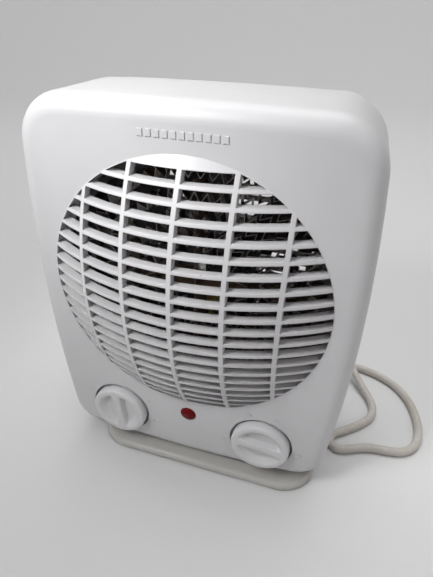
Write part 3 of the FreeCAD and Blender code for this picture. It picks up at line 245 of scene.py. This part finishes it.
tape = Paint("winding_tape", (0.62, 0.47, 0.12), 0.5).mottle(130, (0.45, 0.31, 0.07), detail=4.0)
tape.grain(900, 0.00006, detail=4.0, stretch=(6, 1, 1))
sleeve = Paint("silicone_sleeve", (0.62, 0.60, 0.57), 0.5).mottle(150, (0.48, 0.46, 0.43))
sleeve.grain(1400, 0.00003)
cord_paint = Paint("cord_pvc", (0.545, 0.515, 0.475), 0.44).mottle(36, (0.46, 0.43, 0.385), detail=4.0)
cord_paint.mottle(420, (0.60, 0.57, 0.53), 0.55, 0.75).uneven(90, 0.07, detail=4.0)
cord_paint.grain(1300, 0.00004, detail=4.0).dusty((0.50, 0.47, 0.43), 0.3)
plug_paint = moulded("plug_pvc", (0.53, 0.505, 0.47), 0.40)
tie_paint = moulded("tie_nylon", (0.05, 0.05, 0.052), 0.42)
red = Paint("red_lens", (0.17, 0.001, 0.002), 0.28, Specular_IOR_Level=0.14)
red.mottle(260, (0.09, 0.001, 0.002), 0.3, 0.7).grain(700, 0.00005)
glass = Paint("lamp_glass", (0.95, 0.86, 0.80), 0.06, Transmission_Weight=0.85).mottle(300, (0.9, 0.55, 0.4))

LOOKS = {
    casing: ("front_cover", "rear_cover"),
    foot_paint: ("foot_plate",),
    rubber: ("rubber_feet",),
    screw_steel: ("foot_screws", "cover_screws", "duct_screws", "motor_screws", "bracket_screws",
                  "terminal_screws", "clamp_screws", "fan_clip"),
    steel: ("thermostat_spindle", "selector_spindle", "thermostat_knob_spring", "selector_knob_spring",
            "motor_shaft", "motor_spacers", "motor_bracket", "motor_bridge_front", "motor_bridge_rear"),
    shade_darkened_duct_steel: ("air_duct",),
    dark_plastic: ("thermostat_body", "selector_switch", "lamp_holder", "terminal_block", "cord_clamp"),
    glass: ("neon_lamp",),
    mica: ("mica_board_level", "mica_board_upright"),
    ribbon: ("ribbon_low", "ribbon_high"),
    bright: ("thermal_cutout", "thermal_fuse", "element_terminals"),
    fan_paint: ("fan_impeller",),
    iron: ("motor_stack", "motor_rotor"),
    tape: ("motor_coil",),
    bronze: ("bush_front", "bush_rear"),
    sleeve: ("internal_wires",),
    cord_paint: ("inner_cord",),
    brass: ("plug_pins",),
}
for paint, names in LOOKS.items():
    for name in names:
        mesh = nodes[name].data
        mesh.materials.clear()
        mesh.materials.append(paint.material)


# ---------------------------------------------------------------- helpers for new pieces

def piece(name, points, faces, paint, body="casing"):
    """A smooth mesh piece that rides on a body."""
    mesh = bpy.data.meshes.new(name)
    mesh.from_pydata(points, [], faces)
    mesh.validate()
    mesh.polygons.foreach_set("use_smooth", [True] * len(mesh.polygons))
    mesh.materials.append(paint.material)
    item = bpy.data.objects.new(name, mesh)
    bpy.context.scene.collection.objects.link(item)
    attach(item, body)
    return item


def skin(rings, close_start=True, close_end=True):
    """Faces that join rings of equal length, with a fan over each closed end."""
    count = len(rings[0])
    points = [point for ring in rings for point in ring]
    faces = []
    for row in range(len(rings) - 1):
        for step in range(count):
            after = (step + 1) % count
            faces.append((row * count + step, row * count + after, (row + 1) * count + after,
                          (row + 1) * count + step))
    if close_start:
        faces.append(tuple(range(count - 1, -1, -1)))
    if close_end:
        last = (len(rings) - 1) * count
        faces.append(tuple(range(last, last + count)))
    return points, faces


def turned(profile, centre, count=48):
    """Rings of a shape turned about an axis along Y; the profile lists (y, radius) from the front."""
    return [[(centre.x + radius * math.cos(2 * math.pi * step / count), y,
              centre.z + radius * math.sin(2 * math.pi * step / count)) for step in range(count)]
            for y, radius in profile]


def smooth(value):
    """An eased step from 0 to 1."""
    value = max(0.0, min(1.0, value))
    return value * value * (3 - 2 * value)


# ---------------------------------------------------------------- cord, strain relief and plug

# The cord's free route in millimetres: out of the casing, over the floor at its side, and back behind it.
CORD_POINTS = [
    (30, 86, 34), (30, 108, 34), (44, 128, 32), (68, 136, 28), (91, 127, 22), (106, 108, 16.5),
    (114.5, 88, 11), (123.5, 75, 6), (131, 64, 3.4), (134.5, 53, 3.2), (132.5, 42.5, 3.2), (126, 34, 3.2),
    (118, 26.5, 3.2), (109.5, 19.5, 3.2), (101.8, 14, 3.2), (101.3, 5.5, 3.2), (108, 0.8, 3.2),
    (117, 4.5, 3.2), (131, 10.8, 3.2), (146, 11.5, 3.2), (159, 14.5, 3.2), (167.5, 25, 3.2),
    (170.5, 40, 3.2), (169, 57, 3.2), (164, 73, 3.2), (154.5, 87, 3.2), (141, 96.5, 3.2),
    (124, 101.8, 3.2), (106, 104, 3.2), (88, 106, 3.2), (70, 105.8, 3.2), (52, 103.6, 3.2),
    (34, 100.2, 3.2), (16, 99.4, 3.2), (-2, 101.5, 3.2)]
TAIL_POINTS = [(-9, 181.3, 8.8), (0, 182.8, 8.6), (7, 184, 11), (14, 184, 13), (22, 184, 13)]


def coil_points():
    """Three and a half turns, two wide and two high: out, in, up, and out again.

    The points stand 1 % outside the turns, because the spline runs inside its points.
    """
    strand = 2 * CORD_RADIUS
    points = []
    for step in range(1, int(COIL_TURNS * COIL_STEPS)):
        turn = step / COIL_STEPS
        inward = smooth((turn - 0.92) / 0.16) - smooth((turn - 2.92) / 0.16)
        height = CORD_RADIUS + strand * smooth((turn - 1.92) / 0.16)
        radius = (COIL_RADIUS - strand * inward) * 1.01
        angle = -math.pi / 2 - 2 * math.pi * turn
        points.append((COIL_MIDDLE[0] + radius * math.cos(angle), COIL_MIDDLE[1] + radius * math.sin(angle),
                       height))
    return points


route = [Vector(point) * MM for point in CORD_POINTS + coil_points() + TAIL_POINTS]
curve = bpy.data.curves.new("mains_cord", "CURVE")
curve.dimensions = "3D"
spline = curve.splines.new("NURBS")
spline.points.add(len(route) - 1)
for spot, point in zip(spline.points, route):
    spot.co = (*point, 1)
spline.order_u = 3
spline.use_endpoint_u = True
curve.resolution_u = 10
curve.bevel_depth = CORD_RADIUS * MM
curve.bevel_resolution = 6
curve.use_fill_caps = True
curve.materials.append(cord_paint.material)
cord = bpy.data.objects.new("mains_cord", curve)
bpy.context.scene.collection.objects.link(cord)
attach(cord, "casing")
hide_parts("cord", "cord_coil", "cord_tail")


def boot_profile():
    """The strain relief: collar, then a taper with five grooves, from the casing outwards."""
    low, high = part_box("strain_relief")
    start, end = low[1], high[1]
    wall = start + 5.6 * MM
    flange_end = wall - 2.6 * MM
    profile = [(start, 1.5 * MM), (start, 7.2 * MM), (flange_end, 7.2 * MM), (flange_end, 5.6 * MM),
               (wall, 5.6 * MM), (wall, 6.3 * MM), (wall + 0.3 * MM, 6.6 * MM), (wall + 2 * MM, 6.6 * MM),
               (wall + 2.4 * MM, 6.2 * MM)]
    for step in range(49):
        share = step / 48
        groove = 0.55 * smooth((math.cos(2 * math.pi * share * 6) - 0.1) / 0.6) * smooth(share * 12)
        profile.append((wall + 2.4 * MM + (end - wall - 2.4 * MM) * share,
                        (5.8 - 1.6 * share - groove * smooth((1 - share) * 10)) * MM))
    return profile + [(end, 3.3 * MM)]


relief = piece("ribbed_strain_relief", *skin(turned(boot_profile(), middle("strain_relief"))), plug_paint)
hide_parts("strain_relief")


def plug_rings():
    """A flat-sided moulded plug along X: ribbed boot, grip waist, and a face with rounded edges."""
    low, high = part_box("plug_body")
    axis_y, axis_z = (low[1] + high[1]) / 2, (low[2] + high[2]) / 2
    boot_length = 14 * MM
    boot, face, rings = low[0] + boot_length, high[0], []
    stations = [(low[0] + boot_length * step / 28, None) for step in range(29)]
    stations += [(boot + (face - boot) * step / 30, step / 30) for step in range(31)]
    for x, share in stations:
        if share is None:
            along = (x - low[0]) / boot_length
            rib = 0.6 * smooth((math.cos(2 * math.pi * along * 4) - 0.1) / 0.6) * smooth(along * 8)
            wide = high_half = (3.9 + 3.2 * along - rib) * MM
            power = 2.0
        else:
            ease = smooth(share / 0.35)
            edge = 1.6 * (1 - math.sqrt(max(0.0, 1 - max(0.0, (share - 0.94) / 0.06) ** 2)))
            waist = 1.1 * math.exp(-((share - 0.55) / 0.13) ** 2)
            wide = (7.1 + 10.2 * ease - edge - waist) * MM
            high_half = (7.1 + 5.7 * ease - edge - 0.7 * waist) * MM
            power = 2.0 + 1.6 * ease
        ring = []
        for step in range(72):
            angle = 2 * math.pi * step / 72
            across, up = math.cos(angle), math.sin(angle)
            ring.append((x, axis_y + wide * math.copysign(abs(across) ** (2 / power), across),
                         axis_z + high_half * math.copysign(abs(up) ** (2 / power), up)))
        rings.append(ring)
    return rings


plug = piece("moulded_plug", *skin(plug_rings()), plug_paint)
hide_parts("plug_body")


def tie_band():
    """A flat closed band round the four strands."""
    low, high = (Vector(corner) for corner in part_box("coil_tie"))
    half_x, top = (high.x - low.x) / 2 - 0.8 * MM, high.z - 0.9 * MM
    centre, floor = (low.x + high.x) / 2, 0.5 * MM
    loop, corner = [], 3.0 * MM
    for cx, cz, start in ((half_x - corner, top - corner, 0), (corner - half_x, top - corner, 90),
                          (corner - half_x, floor + corner, 180), (half_x - corner, floor + corner, 270)):
        for step in range(7):
            angle = math.radians(start + 15 * step)
            loop.append((centre + cx + corner * math.cos(angle), cz + corner * math.sin(angle),
                         math.cos(angle), math.sin(angle)))
    rings = []
    for out, side in ((-0.25, -1), (0.25, -1), (0.25, 1), (-0.25, 1)):
        mid_y = (low.y + high.y) / 2 + side * 2.0 * MM
        rings.append([(x + nx * out * MM, mid_y, z + nz * out * MM) for x, z, nx, nz in loop])
    return skin(rings + rings[:1], False, False)


tie = piece("twist_tie", *tie_band(), tie_paint)
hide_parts("coil_tie")


# ---------------------------------------------------------------- knobs and lens

def knob_depth(across, along):
    """How far the knob's face lies behind its front plane, in millimetres."""
    reach = math.hypot(across, along)
    edge = max(0.0, reach - 18.3)
    depth = 2.0 - math.sqrt(max(0.0, 4.0 - edge ** 2))
    half = 2.3 + 1.2 * (along / 16.0) ** 2
    beside, inside = abs(across) - half, 16.6 - reach
    depth += 4.1 * smooth(beside / 1.7) * smooth(inside / 5.2)
    depth += 0.22 * min(1.0, (across / half) ** 2) * smooth(inside / 2)
    dot = math.hypot(across, along - 17.3)
    return depth - 0.4 * math.exp(-(dot / 0.75) ** 4) + 0.3 * math.exp(-((dot - 1.35) / 0.4) ** 2)


def knob(name, node, angle, body):
    """A knob with a rounded rim, two hollows and a grip bar; the angle leans the bar left of upright."""
    low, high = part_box(node)
    centre = middle(node)
    turn = math.radians(angle)
    reaches = [KNOB_RADIUS * step / 72 for step in range(1, 73)]
    rings = []
    for reach in reaches:
        ring = []
        for step in range(KNOB_STEPS):
            spin = 2 * math.pi * step / KNOB_STEPS
            across, along = reach * math.cos(spin), reach * math.sin(spin)
            x = across * math.cos(turn) - along * math.sin(turn)
            z = across * math.sin(turn) + along * math.cos(turn)
            ring.append((centre.x + x * MM, low[1] + knob_depth(across, along) * MM, centre.z + z * MM))
        rings.append(ring)
    for back in (high[1] - 0.3 * MM, high[1]):
        shrink = 0.0 if back < high[1] else 0.3
        radius = (KNOB_RADIUS - shrink) * MM
        spins = [2 * math.pi * step / KNOB_STEPS + turn for step in range(KNOB_STEPS)]
        rings.append([(centre.x + radius * math.cos(spin), back, centre.z + radius * math.sin(spin))
                      for spin in spins])
    item = piece(name, *skin(rings), knob_paint, body)
    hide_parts(node)
    return item


knob("thermostat_dial_knob", "thermostat_knob", 5, "thermostat_dial")
knob("selector_dial_knob", "selector_knob", 83, "selector_dial")

lens_low, lens_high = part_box("indicator_lens")
profile = [(lens_low[1] + 0.001 * MM, 0.3 * MM)]
for step in range(1, 13):
    share = step / 12
    profile.append((lens_low[1] + (1.5 * share ** 2.6) * MM, 5.1 * share * MM))
profile += [(lens_low[1] + 1.9 * MM, 5.45 * MM), (lens_low[1] + 2.6 * MM, 5.55 * MM),
            (lens_high[1], 5.55 * MM), (lens_high[1], 0.3 * MM)]
jewel = piece("red_indicator_lens", *skin(turned(profile, middle("indicator_lens"))), red)
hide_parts("indicator_lens")


# ---------------------------------------------------------------- floor and light

# A round floor that curves up into a wall all round: (reach, height) pairs, turned about Z.
floor_paint = Paint("pale_floor", (0.70, 0.70, 0.70), 0.8)
sweep = [(0.6, 0.0), (FLOOR_REACH, 0.0)]
sweep += [(FLOOR_REACH + math.sin(math.pi * step / 32), 1 - math.cos(math.pi * step / 32))
          for step in range(1, 17)]
sweep.append((2.5, 3.5))
half_turn = FLOOR_STEPS / 2
dish = [[(reach * math.cos(math.pi * step / half_turn), reach * math.sin(math.pi * step / half_turn), z)
         for step in range(FLOOR_STEPS)] for reach, z in sweep]
floor_mesh = bpy.data.meshes.new("floor")
points, faces = skin(dish, close_end=False)
floor_mesh.from_pydata(points, [], faces)
floor_mesh.polygons.foreach_set("use_smooth", [True] * len(floor_mesh.polygons))
floor_mesh.materials.append(floor_paint.material)
floor = bpy.data.objects.new("floor", floor_mesh)
bpy.context.scene.collection.objects.link(floor)

world = bpy.data.worlds.new("studio")
world.use_nodes = True
world.node_tree.nodes["Background"].inputs["Color"].default_value = (1.0, 0.99, 1.0, 1)
world.node_tree.nodes["Background"].inputs["Strength"].default_value = 0.06
bpy.context.scene.world = world
bpy.context.scene.view_settings.view_transform = "Standard"


def softbox(name, spot, target, size, power, color=(1, 1, 1), spread=180):
    light = bpy.data.lights.new(name, "AREA")
    light.shape = "DISK"
    light.size = size
    light.energy = power
    light.color = color
    light.spread = math.radians(spread)
    item = bpy.data.objects.new(name, light)
    item.location = spot
    item.rotation_euler = (Vector(target) - Vector(spot)).to_track_quat("-Z", "Y").to_euler()
    bpy.context.scene.collection.objects.link(item)


softbox("key_light", (-0.18, -0.26, 0.46), (-0.05, -0.05, 0.25), 0.16, 0.26, (0.99, 1.0, 1.0), 66)
softbox("side_light", (0.60, -0.40, 0.60), (0.05, 0, 0.15), 0.5, 0.70, (1.0, 0.95, 0.965))
softbox("back_light", (-0.3, 0.9, 0.8), (0, 0, 0.12), 0.8, 0.5)
softbox("top_light", (0.0, 0.6, 2.6), (0, 0.9, 0.0), 2.2, 44)
